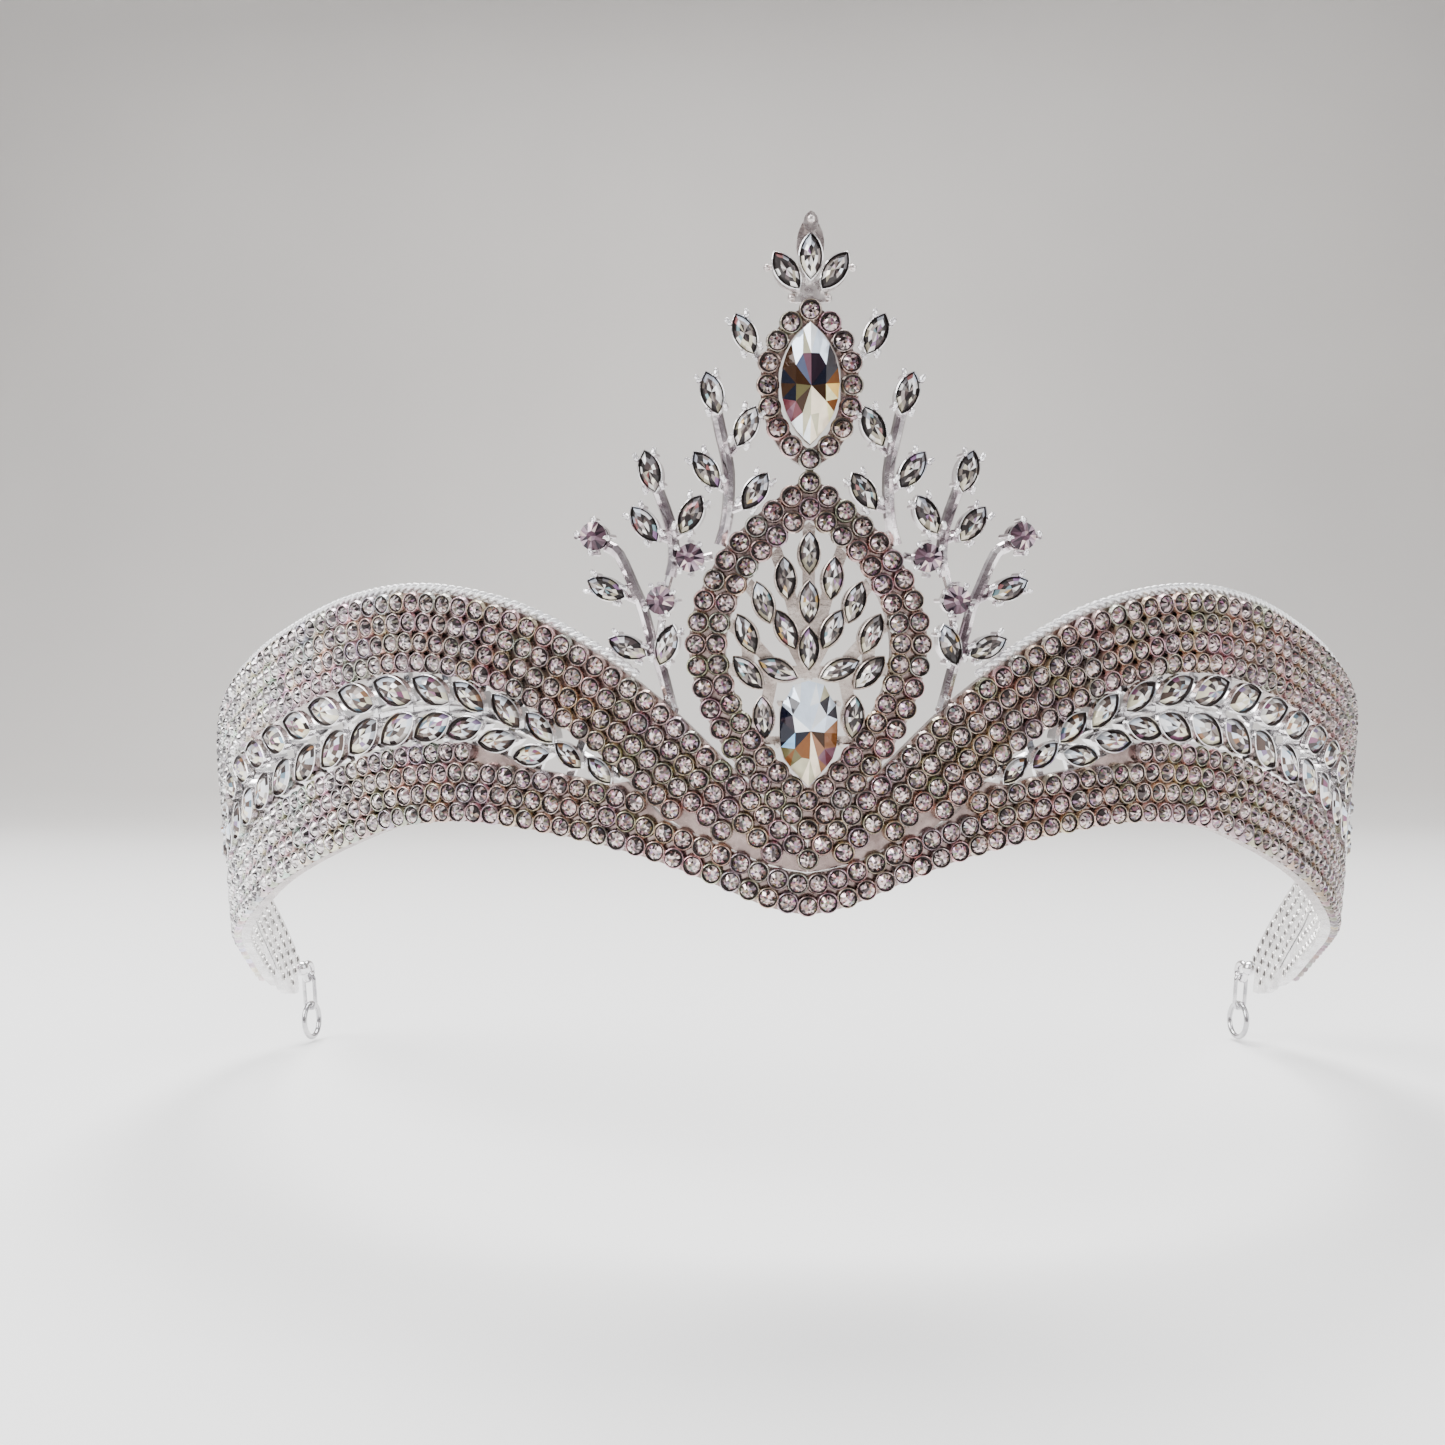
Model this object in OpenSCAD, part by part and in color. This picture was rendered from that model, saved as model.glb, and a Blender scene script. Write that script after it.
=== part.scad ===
// A bridal tiara. A cast band sweeps over two crests and down to its ends. Two strands of
// pavé stones hold a laurel of marquise stones between them. Above the front stand an oval
// medallion, a halo with a finial, and three sprays on each side. A wire link and a ribbon
// loop hang from each end.
//
// Everything on the band lies on one slightly flared cone. A place on it is given by u, the
// length around the front from the middle in mm, by z, the height in mm, and by a depth in mm
// behind the stones' faces. The right-hand half is drawn, and the left-hand half mirrors it.

/* [Head] */
// Radius of the stones' faces at the bottom of the front
ref_r = 78.5; // [74:0.5:84]
// Growth of that radius for each mm of height
flare = 0.08; // [0.04:0.01:0.12]

/* [Stones] */
// Radius of a pavé stone at its girdle
stone_r = 0.85; // [0.75:0.01:0.88]
// Radius of a pavé stone's flat top
table_r = 0.5; // [0.4:0.01:0.6]
// Distance between stones along a row
stone_pitch = 2; // [1.95:0.05:2.2]
// Distance between rows
row_gap = 2.05; // [2:0.01:2.1]
// Girdle radius of a round claw-set stone
chaton_r = 1.4; // [1.2:0.05:1.5]
// Length of a spray's marquise stone
leaf_l = 4; // [3.6:0.1:4]
// Width of a spray's marquise stone
leaf_w = 2; // [1.8:0.1:2]
// Length of the navette crystal in the halo
navette_l = 11.4; // [10.5:0.1:11.6]
// Width of the navette crystal in the halo
navette_w = 5.6; // [5:0.1:5.7]

/* [Castings] */
// Thickness of the strands' plates
plate_t = 1.2; // [1:0.05:1.5]
// Radius of the rope rim
rope_r = 0.45; // [0.35:0.01:0.5]
// Radius of the sprays' stems
stem_r = 0.6; // [0.4:0.01:0.62]
// Radius of the claws
claw_r = 0.22; // [0.18:0.01:0.25]

/* [Links] */
// Radius of the wire of the links
link_wire = 0.3; // [0.25:0.01:0.32]
// Radius of the wire of the ribbon loops
loop_wire = 0.4; // [0.35:0.01:0.42]
// Radius of a ribbon loop, to the middle of its wire
loop_r = 2.6; // [2.4:0.1:2.8]
// Straight length of a link's sides
link_l = 3.6; // [3.4:0.1:4]

/* [Hidden] */

silver = "silver";
lilac = [0.78, 0.7, 0.78];
ice = [0.88, 0.92, 0.95];

face_d = 1.25;              // depth of a plate's face
back_d = face_d + plate_t;  // depth of a plate's back
stone_d = 1.15;             // depth of a stone's underside
edge_gap = 1;               // from a plate's edge to its first row of stones
strand_w = 2 * edge_gap + 3 * row_gap;
glue = 0.08;                // solder or glue line between two castings

// Edges of the band on the right, from the middle of the front to the end.
top_edge = [[0, 7.05], [7, 14.1], [14, 20.8], [21, 25.8], [29.3, 30], [39.7, 32.2], [50.5, 31.6],
  [62.4, 28.8], [74, 25.6], [84, 22.4], [92, 18], [100, 11.4], [108, 4], [115, -2.2], [121, -6.4],
  [126, -10.4], [130, -14.6], [133.6, -19]];
bottom_edge = [[0, 0], [4, 0.8], [9, 2.9], [15, 5.2], [23, 7.2], [32, 8.5], [39, 8.6], [46.5, 7.6],
  [54, 5.4], [62, 2.8], [70, 0], [78, -3.2], [87, -6.4], [96, -9.2], [105, -12.2], [112, -15.2],
  [118, -18.4], [124, -21.2], [129, -22.8], [133.6, -22.8]];
band_end = 133.2;
lower_end = 122;
// How much of the lower strand's full width there is at each place.
lower_width = [[0, strand_w], [16.5, strand_w], [19, 6.1], [28, 6.2], [35, strand_w], [140, strand_w]];

// Edges and stone row of the medallion's ring, from its bottom point to its top point.
ring_outside = [[0, 7.35], [4, 11.35], [8, 16.1], [10.3, 20.5], [11.45, 25.2], [11.15, 29],
  [10, 32.2], [7.6, 36.05], [4.1, 39.4], [0, 42.5]];
ring_inside = [[0, 12.5], [2.7, 14.9], [5.4, 18.4], [7.1, 21.7], [7.95, 25.2], [7.7, 28.2],
  [6.85, 30.7], [5, 33.8], [2.4, 36.6], [0, 38.4]];
ring_row = [[0, 8.55], [3.9, 12.2], [7.4, 16.6], [9.6, 20.8], [10.7, 25.2], [10.4, 28.8],
  [9.3, 31.8], [7, 35.5], [3.65, 38.75], [0, 41.75]];

// The halo's middle and its ring of stones, from the bottom to the top of its right side.
halo_z = 50.85;
halo_row = [[0, -6.95], [1.9, -5.6], [3, -3.9], [3.75, -1.8], [3.85, 0.2], [3.75, 2], [3, 4],
  [1.85, 5.7], [0, 6.95]];

// Claw-set stones as [u, z, lean]: lean is in degrees, with the upper end away from the middle.
medallion_stones = [[2.2, 32.7, 6], [4.3, 30.4, 18], [5.9, 27.4, 24], [2.15, 27.8, 26],
  [5.75, 23.7, 42], [2.9, 24, 66], [4.3, 19.4, 4]];
medallion_middle = [35.1, 30.4, 26];
inner_leaves = [[8.9, 50.2, 16], [5.8, 47, -26], [9.5, 43, 34], [5, 40.9, -34]];
middle_leaves = [[14.8, 43, 14], [11, 38.8, -30], [15.4, 38, 36]];
outer_leaves = [[19.3, 31.9, 66], [13.5, 26.4, -20], [17.3, 26.2, 66]];
middle_chaton = [11.1, 34.7];
outer_chatons = [[20.4, 37], [14, 30.7]];
halo_leaf = [5.9, 55.6, 24];
finial_side = [2.15, 61.4, 35];
finial_z = 62.7;

// The end's lug, link and loop, as lengths below the middle of the lug's eye.
lug_u = 136.6;
lug_z = -20.6;
lug_d = 1.9;
eye_r = 1.35;
eye_wire = 0.45;
link_r = eye_wire + link_wire + 0.1;
hook_drop = eye_r + link_l + link_r;
loop_drop = hook_drop - (link_wire + loop_wire + 0.06) + loop_r;

// --- Places on the cone ---

function turn(u) = u / ref_r * 180 / PI;

function pt(u, z, d) =
  let (r = ref_r + flare * z - d) [r * sin(turn(u)), -r * cos(turn(u)), z];

// Stands its children on the cone: X runs around it, Y up it and Z straight out of it.
module place(u, z, d = 0, spin = 0)
  translate(pt(u, z, d)) rotate([0, 0, turn(u)]) rotate([90 + atan(flare), 0, 0])
    rotate([0, 0, spin]) children();

module mirrored() {
  children();
  mirror([1, 0, 0]) children();
}

module left() mirror([1, 0, 0]) children();

// --- Curves in u and z ---

function bend(a, b, c, d, t) = 0.5 * (2 * b + (c - a) * t + (2 * a - 5 * b + 4 * c - d) * t * t
  + (3 * b - a - 3 * c + d) * t * t * t);

// A smooth curve through points, with n steps from each to the next.
function smooth(p, n) = let (last = len(p) - 1) concat(
  [for (i = [0:last - 1]) for (k = [0:n - 1])
    bend(p[max(i - 1, 0)], p[i], p[i + 1], p[min(i + 2, last)], k / n)], [p[last]]);

function unit(v) = v / norm(v);
function along(p, i) = unit(p[min(i + 1, len(p) - 1)] - p[max(i - 1, 0)]);
function beside(v) = [-v[1], v[0]];
function shifted(p, d) = [for (i = [0:len(p) - 1]) p[i] + d * beside(along(p, i))];

// A shifted curve starts off the middle line, so it is carried back to it.
function from_middle(p) = p[0][0] <= 0 ? concat([[0, lookup(0, p)]], [for (q = p) if (q[0] > 0.01) q])
  : concat([p[0] - p[0][0] * (p[1] - p[0]) / (p[1][0] - p[0][0])], p);

function lengths(p) = [for (i = 0, s = 0; i < len(p);
  i = i + 1, s = i < len(p) ? s + norm(p[i] - p[i - 1]) : s) s];
function share(s, c, p, i = 0) = i >= len(p) - 2 || c[i + 1] >= s
  ? p[i] + (p[i + 1] - p[i]) * (s - c[i]) / (c[i + 1] - c[i]) : share(s, c, p, i + 1);

// Points at even steps along a curve, the first one a given length from its start.
function stepped(p, step, start) = let (c = lengths(p), end = c[len(c) - 1])
  [for (s = [start:step:end - 0.01]) share(s, c, p)];

// Points that divide a whole curve evenly, both ends among them.
function divided(p, step) = let (c = lengths(p), end = c[len(c) - 1], n = round(end / step))
  [for (i = [0:n]) share(min(end * i / n, end - 0.001), c, p)];

function at(p, u) = lookup(u, p);

// --- The band's own edges ---

top_curve = smooth(top_edge, 4);
bottom_curve = smooth(bottom_edge, 4);
upper_limit = from_middle(shifted(top_curve, -strand_w));

function top_z(u) = at(top_curve, u);
function bottom_z(u) = at(bottom_curve, u);
function bottom_slope(u) = (bottom_z(u + 0.5) - bottom_z(u - 0.5));
function lower_top(u) = min(bottom_z(u) + at(lower_width, u) * sqrt(1 + pow(bottom_slope(u), 2)),
  max(at(upper_limit, u) - 0.35, bottom_z(u) + (u < 60 ? 4.1 : 0.9)));
function upper_bottom(u) = max(at(upper_limit, u), bottom_z(u) + (u < 60 ? 4.2 : 0),
  u > 100 && u < lower_end ? lower_top(u) + glue : -99);
function room(u) = upper_bottom(u) - lower_top(u);

// --- Building blocks ---

// Joins rings of points into one solid. A closed one joins its last ring to its first.
module skin(rings, closed = false) {
  n = len(rings[0]);
  m = len(rings);
  sides = [for (i = [0:m - (closed ? 1 : 2)]) for (k = [0:n - 1])
    let (j = (i + 1) % m, l = (k + 1) % n) [i * n + k, i * n + l, j * n + l, j * n + k]];
  ends = closed ? [] : [[for (k = [n - 1:-1:0]) k], [for (k = [0:n - 1]) (m - 1) * n + k]];
  polyhedron([for (r = rings) each r], concat(sides, ends), convexity = 8);
}

function slab(u, low, high, front, back) =
  [pt(u, low, front), pt(u, low, back), pt(u, high, back), pt(u, high, front)];

// A round rod that follows a curve on the cone, at a depth.
module rod(p, r, d, sides = 8)
  skin([for (i = [0:len(p) - 1]) let (n = beside(along(p, i))) [for (k = [0:sides - 1])
    let (a = 360 * k / sides) pt(p[i][0] + r * cos(a) * n[0], p[i][1] + r * cos(a) * n[1],
      d + r * sin(a))]]);

// A flat strip that runs from point to point.
module strip(p, w) for (i = [1:len(p) - 1]) let (v = p[i] - p[i - 1])
  translate(p[i - 1]) rotate(atan2(v[1], v[0])) translate([-w / 2, -w / 2]) square([norm(v) + w, w]);

module pave_stone() cylinder(r1 = stone_r, r2 = table_r, h = stone_d, $fn = 24);

module pave(spots) for (s = spots) place(s[0], s[1], stone_d) pave_stone();

// A pointed oval, long way up.
module marquise(l, w, h) {
  r = (l * l + w * w) / (4 * w);
  intersection() {
    translate([r - w / 2, 0, 0]) cylinder(r = r, h = h, $fn = 64);
    translate([w / 2 - r, 0, 0]) cylinder(r = r, h = h, $fn = 64);
  }
}

module leaf_crystal(s, l = leaf_l, w = leaf_w)
  place(s[0], s[1], stone_d, -s[2]) {
    marquise(l, w, 0.85);
    translate([0, 0, 0.85]) marquise(l * 0.6, w * 0.55, 0.35);
  }

// The seat under a marquise stone, with a claw at each shoulder.
module leaf_seat(s, l = leaf_l, w = leaf_w)
  place(s[0], s[1], stone_d + 0.8, -s[2]) {
    marquise(l + 0.2, w + 0.2, 0.75);
    for (x = [-1, 1], y = [-1, 1])
      translate([x * (0.29 * w + claw_r + 0.08), y * (0.36 * l), 0.1]) cylinder(r = claw_r, h = 1.9, $fn = 16);
  }

module chaton_crystal(s) place(s[0], s[1], stone_d) {
  cylinder(r = chaton_r, h = 0.8, $fn = 32);
  translate([0, 0, 0.8]) cylinder(r1 = chaton_r - 0.15, r2 = 0.75, h = 0.6, $fn = 32);
}

module chaton_seat(s) place(s[0], s[1], stone_d + 0.85) {
  cylinder(r = chaton_r - 0.15, h = 0.8, $fn = 32);
  for (a = [0:90:270]) rotate([0, 0, a]) {
    translate([chaton_r + claw_r + 0.02, 0, 0.1]) cylinder(r = claw_r, h = 1.9, $fn = 16);
    translate([chaton_r - 0.5, -0.15, 0.1]) cube([0.7, 0.3, 0.6]);
  }
}

// --- The band ---

strand_steps = [for (u = [0.05:2.05:band_end]) u];

module band_upper() color(silver)
  skin([for (u = strand_steps) slab(u, upper_bottom(u), top_z(u), face_d, back_d)]);

module band_lower() color(silver)
  skin([for (u = [-lower_end:2:lower_end]) let (v = abs(u))
    slab(u, bottom_z(v), lower_top(v) - (v > 100 ? 0 : glue), face_d, back_d)]);

module rope_rim() color(silver)
  rod([for (i = [9:len(top_curve) - 3]) shifted(top_curve, rope_r + 0.04)[i]], rope_r, face_d + 0.15, 6);

function row(p, k) = stepped(from_middle(p), stone_pitch, (k % 2) * stone_pitch / 2);
function upper_row(k) = row(shifted(top_curve, -edge_gap - k * row_gap), k);
function lower_row(k) = row(shifted(bottom_curve, edge_gap + k * row_gap), k);
function clear_of(s, others, d) = len([for (o = others) if (norm(o - s) < d) 1]) == 0;

// The lower strand has two rows as far as v_end, and the rows of the upper one run down to them.
v_end = 18;
lower_main = [for (k = [0:3]) for (s = lower_row(k))
  if (s[0] < lower_end - 1 && (k < 2 && s[0] < 60 || s[0] > v_end && lower_top(s[0]) - s[1] > 0.9)) s];
upper_spots = [for (k = [0:3]) for (s = upper_row(k))
  if ((s[1] - upper_bottom(s[0])) * 0.87 > (s[0] < v_end || s[0] > 100 ? -0.3 : 0.8)
    && s[0] < band_end - 1 && s[1] - bottom_z(s[0]) > 1 && clear_of(s, lower_main, 1.8)) s];
lower_spots = concat(lower_main, [for (k = [2:3]) for (s = lower_row(k))
  if (s[0] < v_end && (s[0] < 0.01 || s[0] > 0.9) && top_z(s[0]) - s[1] > 1
    && clear_of(s, lower_main, 1.8) && clear_of(s, upper_spots, 1.85)) s]);

function off_middle(spots) = [for (s = spots) if (s[0] > 0.3) s];

module pave_upper(spots) color(lilac) pave(spots);
module pave_lower(spots) color(lilac) pave(spots);

// --- The laurel between the strands ---

// Step, length and width of the leaves for each width between the strands.
pair_room = 4.9;            // the least width that takes two leaves side by side
leaf_steps = [[2, 3.5], [4.8, 3.9], [5.2, 3.8], [5.9, 4.3], [6.6, 4.6], [7.5, 5.1], [8.5, 5.8], [10, 6]];
leaf_lengths = [[2, 3.3], [4.9, 3.7], [6.6, 4.8], [8, 5.7], [10, 6.2]];
leaf_widths = [[2, 1.6], [4.9, 1.8], [6.6, 2.4], [8, 2.9], [10, 3.2]];
leaf_offsets = [[4.9, 1.35], [6.6, 1.75], [8, 2.05], [10, 2.4]];

function laurel_z(u) = (upper_bottom(u) + lower_top(u)) / 2;
function laurel_slope(u) = (laurel_z(u + 1) - laurel_z(u - 1)) / 2;
function laurel_room(u) = room(u) * cos(atan(laurel_slope(u))) - (u > 85 ? 0.9 : 0);
function laurel_steps(u = 20.4) = u > 97 ? []
  : concat([u], laurel_steps(u + lookup(laurel_room(u), leaf_steps) * cos(atan(laurel_slope(u)))));
function laurel_leaf(u, side) = let (a = atan(laurel_slope(u)), q = laurel_room(u),
    off = q < pair_room ? 0 : lookup(q, leaf_offsets) * side)
  [u - off * sin(a), laurel_z(u) + off * cos(a), 90 - a - (q < pair_room ? 20 : 26) * side,
    lookup(q, leaf_lengths), lookup(q, leaf_widths)];
laurel = [for (u = laurel_steps()) each
  laurel_room(u) < pair_room ? [laurel_leaf(u, 1)] : [laurel_leaf(u, 1), laurel_leaf(u, -1)]];
spine = [for (u = [19:2.2:98]) [u, laurel_z(u)]];

module laurel_crystals() color(ice) for (s = laurel) place(s[0], s[1], stone_d, -s[2]) {
  marquise(s[3], s[4], 1.1);
  translate([0, 0, 1.1]) marquise(s[3] * 0.6, s[4] * 0.55, 0.4);
}

module laurel_gallery() color(silver) {
  rod(spine, 0.5, 3.05, 6);
  for (s = laurel) place(s[0], s[1], 3.2, -s[2]) marquise(s[3] - 0.9, s[4] - 0.7, 1.95);
  for (u = laurel_steps()) let (h = room(u) + 1.6)
    place(u, laurel_z(u), back_d + glue + 0.6, atan(laurel_slope(u))) translate([-0.4, -h / 2, 0])
      cube([0.8, h, 0.6]);
}

// --- The medallion ---

ring_out = smooth(ring_outside, 5);
ring_in = smooth(ring_inside, 5);
ring_outer_row = smooth(ring_row, 5);
ring_inner_row = let (p = shifted(ring_outer_row, 1.95)) concat([[0, 11.35]],
  [for (q = p) if (q[0] > 0.2) q], [[0, 39.3]]);

module medallion_ring() color(silver) let (n = len(ring_out)) skin(concat(
  [for (i = [0:n - 1]) ring_section(ring_out[i], ring_in[i], 1)],
  [for (i = [n - 2:-1:1]) ring_section(ring_out[i], ring_in[i], -1)]), true);

function ring_section(a, b, side) = [pt(side * a[0], a[1], face_d), pt(side * a[0], a[1], back_d),
  pt(side * b[0], b[1], back_d), pt(side * b[0], b[1], face_d)];

ring_spots = concat(divided(ring_outer_row, stone_pitch + 0.1),
  divided(ring_inner_row, stone_pitch + 0.05));

module medallion_pave() color(lilac) {
  pave(ring_spots);
  left() pave(off_middle(ring_spots));
}

module medallion_crystals() color(ice) {
  mirrored() for (s = medallion_stones) leaf_crystal(s, 4, 1.8);
  for (z = medallion_middle) leaf_crystal([0, z, 0], 4, 1.8);
}

// Seats on ribs that fan out from above the kite to the ring.
lattice_ribs = [[[0.1, 23.9], [2.15, 27.8], [4.3, 30.4], [7, 33.8]], [[0.1, 25], [2.2, 32.7], [3.7, 37]],
  [[0.1, 23.9], [5.75, 23.7], [8.6, 24.4]], [[5.75, 23.7], [5.9, 27.4], [8.8, 29.2]],
  [[2.9, 24], [5.9, 27.4]], [[3.4, 23.8], [4.3, 19.4], [6.3, 18.2]]];

module medallion_lattice() color(silver) {
  mirrored() for (s = medallion_stones) leaf_plate(s);
  for (z = medallion_middle) leaf_plate([0, z, 0]);
  place(0, 0, 2.35) linear_extrude(0.85) intersection() {
    polygon(outline(ring_in, 0.1));
    union() {
      mirrored() for (p = lattice_ribs) strip(p, 1.2);
      translate([-0.6, 23.3]) square([1.2, 17]);
    }
  }
}

module leaf_plate(s, h = 1) place(s[0], s[1], 1.2 + h, -s[2]) marquise(4.3, 2.3, h);

// A crystal with a cut top, straight sides and a pointed foot.
kite = [[0, -5.1], [1.6, -3.4], [2.4, -2.3], [2.8, -0.9], [2.8, 2.5], [2, 3.7], [1.5, 4.7], [0, 5.1],
  [-1.5, 4.7], [-2, 3.7], [-2.8, 2.5], [-2.8, -0.9], [-2.4, -2.3], [-1.6, -3.4]];
kite_z = 17.7;

module kite_crystal() color(ice) place(0, kite_z, stone_d) {
  linear_extrude(1.6) polygon(kite);
  translate([0, 0, 1.6]) linear_extrude(0.6) polygon(kite * 0.62);
}

module kite_setting() color(silver) place(0, kite_z, 3.1) {
  translate([-5.4, -1, -0.4]) cube([10.8, 0.8, 0.6]);
  linear_extrude(1.9) difference() {
    polygon(kite * 0.98);
    polygon(kite * 0.66);
  }
  for (x = [-1, 1]) {
    translate([x * (2.6 + claw_r), 3.2, 0.9]) cylinder(r = claw_r, h = 2.9, $fn = 16);
    translate([x * (2.85 + claw_r), -0.8, 0.9]) cylinder(r = claw_r, h = 2.9, $fn = 16);
    translate([x * (2.4 + claw_r) - 0.35, 3, 0.9]) cube([0.7, 0.4, 0.9]);
    translate([x * (2.7 + claw_r) - 0.35, -1, 0.9]) cube([0.7, 0.4, 0.9]);
  }
}

// --- The halo and its navette ---

halo_curve = smooth(halo_row, 5);
halo_half = divided(halo_curve, 2.06);
function outline(p, d) = let (q = [for (s = shifted(p, d)) if (s[0] > 0.05) s])
  concat([[0, p[0][1] + d]], q, [[0, p[len(p) - 1][1] - d]],
    [for (i = [len(q) - 1:-1:0]) [-q[i][0], q[i][1]]]);

module halo_frame() color(silver) place(0, halo_z, back_d) linear_extrude(plate_t - 0.1) difference() {
  polygon(outline(halo_curve, -0.8));
  polygon(outline(halo_curve, 0.9));
}

module halo_pave() color(lilac) {
  pave([for (s = halo_half) s + [0, halo_z]]);
  left() pave(off_middle([for (s = halo_half) s + [0, halo_z]]));
}

module navette_setting() color(silver) place(0, halo_z, 2.4) {
  difference() {
    marquise(navette_l - 0.4, navette_w - 0.4, 1.15);
    translate([0, 0, -1]) marquise(navette_l - 4, navette_w - 2.4, 3);
  }
}

module navette_crystal() color(ice) place(0, halo_z, stone_d) {
  marquise(navette_l, navette_w, 1.5);
  translate([0, 0, 1.5]) marquise(navette_l * 0.62, navette_w * 0.55, 0.8);
}

module halo_leaves() color(silver) mirrored() {
  leaf_seat(halo_leaf);
  rod([[4.6, 53.5], [5, 53.9], [5.6, 55.1]], 0.35, 2, 6);
}

module halo_leaf_crystals() color(ice) mirrored() leaf_crystal(halo_leaf);

// --- The finial ---

module finial() color(silver) {
  place(0, finial_z, 2.2) marquise(4.6, 2.3, 1);
  mirrored() place(finial_side[0], finial_side[1], 2.2, -finial_side[2]) marquise(4.4, 2.25, 1);
  place(0, 58.7, 2.3) rotate([-90, 0, 0]) cylinder(r = 0.5, h = 7.6, $fn = 24);
  place(0, 59.4, 2.4) linear_extrude(0.9) polygon([[-1.5, -0.6], [1.5, -0.6], [1.1, 1.5], [-1.1, 1.5]]);
  place(0, 64.1, 2.25) marquise(5.6, 2.6, 1);
  place(0, 65.85, 2) marquise(2.1, 1.4, 1.7);
  place(0, 66, 0.35) sphere(r = 0.4, $fn = 24);
  place(-1.6, 59.2, 1.9) rotate([0, 90, 0]) cylinder(r = 0.25, h = 3.2, $fn = 16);
  mirrored() place(1.6, 59.2, 1.9) sphere(r = 0.45, $fn = 24);
  mirrored() place(2.6, 62, 1.8) rotate([0, 90, 0]) cylinder(r = 0.2, h = 1.3, $fn = 16);
  mirrored() place(3.9, 62, 1.8) sphere(r = 0.35, $fn = 24);
}

module finial_crystals() color(ice) {
  leaf_crystal([0, finial_z, 0], 4.2, 2);
  mirrored() leaf_crystal(finial_side, 4, 1.95);
}

// --- The sprays ---

module spray_inner() color(silver) {
  rod(smooth([[8.5, 36], [7.8, 38.6], [7.6, 43], [8.3, 46.6], [8.8, 49]], 3), stem_r, 2.3);
  for (s = inner_leaves) leaf_seat(s);
  rod([[7.7, 44.4], [6.4, 45.9]], 0.35, 2.2, 6);
  rod([[7.7, 39.2], [5.8, 39.9]], 0.35, 2.2, 6);
  rod([[7.6, 41], [8.7, 41.8]], 0.35, 2.2, 6);
}

module spray_inner_crystals() color(ice) for (s = inner_leaves) leaf_crystal(s);

module spray_middle() color(silver) {
  rod(smooth([[13.4, 33.1], [13, 35], [13.3, 38], [14.6, 41.8]], 3), stem_r, 2.3);
  rod([[13.1, 34.2], [11.6, 34.6]], 0.4, 2.3, 6);
  rod([[10.4, 34.7], [9.2, 35]], 0.4, 2.3, 6);
  for (s = middle_leaves) leaf_seat(s);
  chaton_seat(middle_chaton);
  rod([[13.1, 36.6], [12, 37.4]], 0.35, 2.2, 6);
  rod([[13.1, 36.4], [14.5, 37]], 0.35, 2.2, 6);
}

module spray_middle_crystals() color(ice) {
  for (s = middle_leaves) leaf_crystal(s);
  chaton_crystal(middle_chaton);
}

module spray_outer() color(silver) {
  rod(smooth([[13.7, 21.15], [14.4, 24], [15.3, 26.6], [16.2, 30], [17, 32], [18.5, 35.3], [19.8, 36.2]], 3),
    stem_r, 2.3);
  rod([[14.7, 25], [14.6, 27], [14.2, 29.5]], 0.4, 2.3, 6);
  for (s = outer_leaves) leaf_seat(s);
  for (s = outer_chatons) chaton_seat(s);
  rod([[16.4, 30.6], [18.2, 31.4]], 0.35, 2.2, 6);
  rod([[15, 25.6], [16.4, 25.8]], 0.35, 2.2, 6);
  rod([[14.4, 24.2], [13.6, 25.4]], 0.35, 2.2, 6);
}

module spray_outer_crystals() color(ice) {
  for (s = outer_leaves) leaf_crystal(s);
  for (s = outer_chatons) chaton_crystal(s);
}

// --- The ends ---

module end_lug() color(silver) place(lug_u, lug_z, lug_d) {
  rotate_extrude($fn = 48) translate([eye_r, 0]) circle(r = eye_wire, $fn = 24);
  translate([-eye_r - 1, 0.9, 0]) sphere(r = 1.15, $fn = 32);
}

// Two half rings and two straight sides.
module link() color(silver) place(lug_u, lug_z, lug_d) translate([0, -eye_r, 0]) rotate([0, 90, 0]) {
  rotate_extrude(angle = 180, $fn = 48) translate([link_r, 0]) circle(r = link_wire, $fn = 24);
  translate([0, -link_l, 0]) rotate([0, 0, 180]) rotate_extrude(angle = 180, $fn = 48)
    translate([link_r, 0]) circle(r = link_wire, $fn = 24);
  for (x = [-1, 1]) translate([x * link_r, 0, 0]) rotate([90, 0, 0]) cylinder(r = link_wire, h = link_l, $fn = 24);
}

module ribbon_loop() color(silver) place(lug_u, lug_z, lug_d) translate([0, -loop_drop, 0])
  rotate_extrude($fn = 64) translate([loop_r, 0]) circle(r = loop_wire, $fn = 24);

left() band_upper();  // band_upper_left
band_upper();  // band_upper_right
band_lower();
left() rope_rim();  // rope_rim_left
rope_rim();  // rope_rim_right
left() pave_upper(off_middle(upper_spots));  // pave_upper_left
pave_upper(upper_spots);  // pave_upper_right
left() pave_lower(off_middle(lower_spots));  // pave_lower_left
pave_lower(lower_spots);  // pave_lower_right
left() laurel_gallery();  // laurel_gallery_left
laurel_gallery();  // laurel_gallery_right
left() laurel_crystals();  // laurel_crystals_left
laurel_crystals();  // laurel_crystals_right
medallion_ring();
medallion_pave();
medallion_lattice();
medallion_crystals();
kite_setting();
kite_crystal();
halo_frame();
halo_pave();
navette_setting();
navette_crystal();
finial();
finial_crystals();
halo_leaves();
halo_leaf_crystals();
left() spray_inner();  // spray_inner_left
spray_inner();  // spray_inner_right
left() spray_inner_crystals();  // spray_inner_crystals_left
spray_inner_crystals();  // spray_inner_crystals_right
left() spray_middle();  // spray_middle_left
spray_middle();  // spray_middle_right
left() spray_middle_crystals();  // spray_middle_crystals_left
spray_middle_crystals();  // spray_middle_crystals_right
left() spray_outer();  // spray_outer_left
spray_outer();  // spray_outer_right
left() spray_outer_crystals();  // spray_outer_crystals_left
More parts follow.
